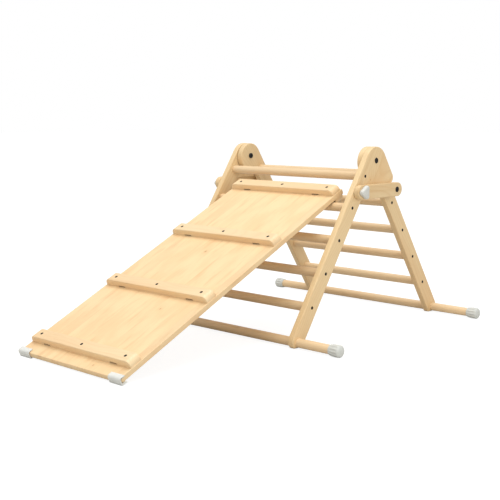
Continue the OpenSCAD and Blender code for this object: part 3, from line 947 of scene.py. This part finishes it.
for label, ladder in LADDERS.items():
    inner, outer = INNER[ladder], OUTER[ladder]
    outline = front_outline() if ladder == FRONT else rear_outline()
    for word, side in SIDES.items():
        tools = rung_bores(ladder)
        tools.append(bore(-1, RAIL_T + 1, BOLT_R + FIT))
        if ladder == FRONT:
            tools.append(bore(BLIND_SKIN, RAIL_T + 1, BOLT_R + FIT, STRAP_STUD))
        else:
            tools.append(bore(BLIND_SKIN, RAIL_T + 1, INSERT_R + FIT, STRAP_BOLT))
        piece(f"{label}_rail_{word}", carved(slab(outline, RAIL_T, RAIL_EASE), tools),
              side_view(inner), rail_grain(ladder), side)
        screws = [moved(rung_screw(), Matrix.Translation((0, *rung_at(i, ladder))))
                  for i in range(1, RUNGS + 1)]
        piece(f"{label}_rung_screws_{word}", joined(screws), along_x(outer - SCREW_SUNK), side=side)
        cap = floor_cut(foot_cap(), -centre(f"{label}_foot_bar").z / MM)
        piece(f"{label}_foot_cap_{word}", cap,
              along_x(span(f"{label}_foot_cap_right", 0)[0], FOOT_BAR[ladder]), side=side)
    for i in range(1, RUNGS + 1):
        piece(f"{label}_rung_{i}", dowel(inner + SOCKET - FIT, bored=True),
              along_x(0, rung_at(i, ladder)))
    piece(f"{label}_foot_bar", dowel(span(f"{label}_foot_bar", 0)[1]), along_x(0, FOOT_BAR[ladder]))

# ------------------------------------------------------- hinge, straps and knobs
def spacer(length):
    """A thick wooden ring along X with eased rims."""
    end = [(0, BOLT_R + FIT), (0, 12.8), (0.35, 13.6), (1.2, 14), (2.3, 14)]
    return lathe(end + [(length - x, r) for x, r in reversed(end)], 64, closed=True)


for word, side in SIDES.items():
    piece(f"hinge_bolt_{word}", domed_bolt(REAR_IN - 3, FRONT_OUT), along_x(0), side=side)
    piece(f"strap_bolt_{word}", domed_bolt(REAR_IN + BLIND_SKIN + 1, STRAP_OUT + SPACER_GAP),
          along_x(0, STRAP_BOLT), side=side)
    piece(f"hinge_nut_{word}", closed_nut(REAR_IN - 0.1), along_x(0), side=side)
    piece(f"strap_spacer_{word}", spacer(STRAP_IN - SPACER_GAP - REAR_OUT),
          along_x(REAR_OUT, STRAP_BOLT), side=side)
    strap = carved(slab(strap_outline(), STRAP_T, STRAP_EASE),
                   [bore(-1, STRAP_T + 1, BOLT_R + BOLT_FIT, (STRAP_BOLT.x, 0))])
    piece(f"strap_{word}", strap, side_view(STRAP_IN, (0, STRAP_BOLT.y)), side=side)

LOBE_R = 9
LOBES = [(-14, 0), (6, -12.5), (6, 12.5)]
KNOB_SKIN = 3


def knob_outline():
    """The hull of three round lobes, flat towards the rear ladder."""
    out = []
    for k, c in enumerate(LOBES):
        before, after = Vector(LOBES[k - 1]), Vector(LOBES[(k + 1) % 3])
        d0, d1 = Vector(c) - before, after - Vector(c)
        t0 = math.degrees(math.atan2(-d0.x, d0.y))
        t1 = math.degrees(math.atan2(-d1.x, d1.y))
        out += arc(c, LOBE_R, t0, t0 + (t1 - t0) % 360)
    return clean(out)


def knob():
    """A soft-edged knob with a shallow crown, bored from behind for its insert."""
    # how far each level lies inside the outline, and its height
    levels = [(1.6, 0.0), (0.9, 0.0), (0.3, 0.35), (0.0, 1.1), (0.0, 2.4), (0.0, 5.0), (0.2, 6.8),
              (0.7, 8.6), (1.6, 10.2), (2.9, 11.5), (4.5, 12.3), (6.2, 12.75), (7.8, 12.95)]
    outline = knob_outline()
    body = layered([[(*p, z) for p in inset(outline, d)] for d, z in levels])
    stud_end = KNOB_OUT - KNOB_SKIN - KNOB_IN
    insert_r, stud_r = INSERT_R + FIT, BOLT_R + BOLT_FIT
    return carved(body, [drill([(-1, insert_r), (stud_end, insert_r), (stud_end, stud_r),
                                (stud_end + 0.5, stud_r)], (0, 0), 48)])


for word, side in SIDES.items():
    piece(f"knob_{word}", knob(), side_view(KNOB_IN, STRAP_STUD), side=side)

# ------------------------------------------------------------------------- slide
board_l = BOARD_TOP_U - BOARD_LOW
board_plan = rounded([(-BOARD_HALF, 0), (BOARD_HALF, 0), (BOARD_HALF, board_l),
                      (-BOARD_HALF, board_l)], 2 * [BOARD_LOW_CORNER_R] + 2 * [BOARD_TOP_CORNER_R])
CLEAT_U = [sum(slope_coords(f"cleat_{i}")[:2]) / 2 for i in range(1, 5)]
CLEAT_SCREWS = (-CLEAT_SCREW_X, 0, CLEAT_SCREW_X)


def grip(i):
    """How deep a cleat's screws go, the top cleat's on through the board."""
    return CLEAT_GRIP + (BOARD_T if i == len(CLEAT_U) else 0)


board_bores = [bore(BOARD_T - grip(i), BOARD_T + 1, SMALL_SCREW_R + FIT, (x, u - BOARD_LOW), 16)
               for i, u in enumerate(CLEAT_U, 1) for x in CLEAT_SCREWS]
piece("slide_board", carved(slab(board_plan, BOARD_T, BOARD_EASE), board_bores),
      on_slope(0, BOARD_LOW, BOARD_UNDER), lambda p: Vector((p.y, p.x, p.z)))


def cleat_blank(h):
    """A bar with two large round corners at height h and soft edges. It is cut off
    at 0, so that its flat base has crisp edges."""
    deep = 4
    outline = rounded([(-CLEAT_HALF, -deep), (CLEAT_HALF, -deep), (CLEAT_HALF, h),
                       (-CLEAT_HALF, h)], [0, 0, CLEAT_ROUND, CLEAT_ROUND])
    reach = CLEAT_HALF + deep
    base = slab([Vector(p) for p in ((-reach, -2 * deep), (reach, -2 * deep), (reach, 0),
                                     (-reach, 0))], CLEAT_W + 2 * deep, 0.4)
    return carved(slab(outline, CLEAT_W, CLEAT_EASE), [moved(base, Matrix.Translation((0, 0, -deep)))])


def into_cleat(x, from_edge):
    """Takes a cutter along X to a cleat's height, at x and that far from its edge."""
    turn = Matrix(((0, 1, 0, 0), (1, 0, 0, 0), (0, 0, -1, from_edge), (0, 0, 0, 1)))
    return Matrix.Translation((x, 0, 0)) @ turn


def cleat():
    """A cleat with eased edges and round ends, two drain notches and three sinks."""
    tools = []
    for x in (-NOTCH_X, NOTCH_X):
        notch = slab(rounded([(x - NOTCH_L / 2, -2), (x + NOTCH_L / 2, -2),
                              (x + NOTCH_L / 2, NOTCH_H), (x - NOTCH_L / 2, NOTCH_H)], 2.0),
                     NOTCH_D + 6, NOTCH_EASE)
        tools.append(moved(notch, Matrix.Translation((0, 0, CLEAT_W - NOTCH_D))))
    shaft_r, sink_r = SMALL_SCREW_R + FIT, SMALL_HEAD_R + SINK_GAP
    for x in CLEAT_SCREWS:
        sink = lathe([(-1, 0), (-1, shaft_r), (CLEAT_H - SMALL_HEAD_H - SINK_SPARE, shaft_r),
                      (CLEAT_H - SMALL_SUNK, sink_r), (CLEAT_H + 1, sink_r), (CLEAT_H + 1, 0)], 32)
        tools.append(moved(sink, into_cleat(x, CLEAT_W / 2)))
    return carved(cleat_blank(CLEAT_H), tools)


for i, u in enumerate(CLEAT_U, 1):
    piece(f"cleat_{i}", cleat(), on_slope(0, u + CLEAT_W / 2, BOARD_FACE, "xnd"),
          lambda p: Vector((p.x, p.z, p.y)))
    screws = [moved(small_screw(CLEAT_H + grip(i)), Matrix.Translation((0, x, 0)))
              for x in CLEAT_SCREWS]
    piece(f"cleat_screws_{i}", joined(screws),
          on_slope(0, u, BOARD_FACE + CLEAT_H - SMALL_SUNK, "nxu"))


def batten():
    """The hook under the board's top end: like a cleat, with its flat face up."""
    r = SMALL_SCREW_R + FIT
    tools = []
    for x in CLEAT_SCREWS:
        shaft = lathe([(-1, 0), (-1, r), (CLEAT_GRIP, r), (CLEAT_GRIP, 0)], 16)
        tools.append(moved(shaft, into_cleat(x, CLEAT_U[-1] - BATTEN_U)))
    return carved(cleat_blank(BATTEN_H), tools)


BATTEN_U, _, batten_low, BATTEN_TOP = slope_coords("hook_batten")
BATTEN_H = BATTEN_TOP - batten_low
piece("hook_batten", batten(), on_slope(0, BATTEN_U, BATTEN_TOP, "xmu"),
      lambda p: Vector((p.x, p.z, p.y)))

PAD_LOW, PAD_HIGH, PAD_UNDER, PAD_TOP = slope_coords("rung_pad")
PAD_HALF = span("rung_pad", 0)[1]
pad_plan = rounded([(-PAD_HALF, PAD_LOW), (PAD_HALF, PAD_LOW), (PAD_HALF, PAD_HIGH),
                    (-PAD_HALF, PAD_HIGH)], 3)
piece("rung_pad", slab(pad_plan, PAD_TOP - PAD_UNDER, RUBBER_EASE), on_slope(0, 0, PAD_UNDER))


def clip():
    """A soft rubber channel along the board's low edge, with a round nose and both
    ends open. Its outline is in the side view of the slope."""
    low, high = BOARD_UNDER - CLIP_T, BOARD_FACE + CLIP_T
    nose, toe, lip, bevel = 8.0, 2.0, CLIP_T / 2 - 0.1, 0.6
    start, lip_u = -CLIP_T, CLIP_WRAP - lip
    channel = [(lip_u, BOARD_UNDER), (bevel, BOARD_UNDER), (0, BOARD_UNDER + bevel),
               (0, BOARD_FACE - bevel), (bevel, BOARD_FACE), (lip_u, BOARD_FACE)]
    outer = (arc((lip_u, low + lip), lip, -90, 90)[:-1] + [Vector(p) for p in channel]
             + arc((lip_u, high - lip), lip, -90, 90)[1:]
             + arc((start + nose, high - nose), nose, 90, 180)
             + arc((start + toe, low + toe), toe, 180, 270))
    return slab(outer, CLIP_L, RUBBER_EASE)


for word, side in SIDES.items():
    obj = piece(f"end_clip_{word}", clip(),
                on_slope(BOARD_HALF + CLIP_OVER - CLIP_L, BOARD_LOW, 0, "unx"), side=side)
    for v in obj.data.vertices:
        v.co.z = max(v.co.z, 0)

# the small inner pieces that keep their CAD mesh
for node, obj in frame["nodes"].items():
    if not obj.hide_render:
        obj.data.materials.clear()
        obj.data.materials.append(MATERIALS[SLOT_OF[node]])

# ------------------------------------------------------- floor, light and camera
FLOOR_HALF = 30
FLOOR_BOUNCE = colour(0.60, 0.59, 0.565)
FLOOR_SEEN = colour(0.24, 0.24, 0.24)
FLOOR_GLOW = 0.88
SKY = 0.62
LENS, SENSOR = 70.25, 36
CAMERA_FROM_HINGE = Vector((2.1436, -2.5224, 0.1442))
TARGET_FROM_HINGE = Vector((0, -0.2699, -0.2873))

floor_mesh = bpy.data.meshes.new("floor")
corners = [(x * FLOOR_HALF, y * FLOOR_HALF, 0) for x, y in ((-1, -1), (1, -1), (1, 1), (-1, 1))]
floor_mesh.from_pydata(corners, [], [(0, 1, 2, 3)])
floor = bpy.data.objects.new("floor", floor_mesh)
bpy.context.scene.collection.objects.link(floor)
paper = Shader("studio_floor")
tooth = paper.noise(paper.node("TexCoord").outputs["Object"], 300.0, 2.0)
paper.bump((tooth, 0.0001, 0.1))
seen = paper.node("LightPath").outputs["Is Camera Ray"]
paper.set(Base_Color=paper.mix(seen, FLOOR_BOUNCE, FLOOR_SEEN), Roughness=0.9,
          Specular_IOR_Level=0.1, Emission_Color=colour(1, 1, 1),
          Emission_Strength=paper.math("MULTIPLY", seen, FLOOR_GLOW))
floor_mesh.materials.append(paper.material)

world = bpy.data.worlds.new("studio")
bpy.context.scene.world = world
world.use_nodes = True
background = world.node_tree.nodes["Background"]
background.inputs["Color"].default_value = colour(1, 1, 1)
path = world.node_tree.nodes.new("ShaderNodeLightPath")
level = world.node_tree.nodes.new("ShaderNodeMath")
level.operation = "MAXIMUM"
level.inputs[1].default_value = SKY
world.node_tree.links.new(path.outputs["Is Camera Ray"], level.inputs[0])
world.node_tree.links.new(level.outputs[0], background.inputs["Strength"])


def area_light(name, place, target, size, power):
    """A round lamp that points at the target, in metres and watts."""
    data = bpy.data.lights.new(name, "AREA")
    data.shape, data.size, data.energy = "DISK", size, power
    light = bpy.data.objects.new(name, data)
    light.location = place
    light.rotation_euler = (Vector(target) - Vector(place)).to_track_quat("-Z", "Y").to_euler()
    bpy.context.scene.collection.objects.link(light)


area_light("overhead", (0.0, -0.4, 5.0), (0, 0, 0.2), 4.5, 168)
area_light("side_fill", (3.4, -0.9, 1.2), (0, 0, 0.3), 2.2, 30)
area_light("front_fill", (0.6, -3.8, 1.3), (0, 0, 0.25), 2.4, 9)

camera_data = bpy.data.cameras.new("camera")
camera_data.lens, camera_data.sensor_width = LENS, SENSOR
camera = bpy.data.objects.new("camera", camera_data)
camera.location = HINGE * MM + CAMERA_FROM_HINGE
view = HINGE * MM + TARGET_FROM_HINGE - camera.location
camera.rotation_euler = view.to_track_quat("-Z", "Y").to_euler()
bpy.context.scene.collection.objects.link(camera)
bpy.context.scene.camera = camera
bpy.context.scene.view_settings.view_transform = "Standard"
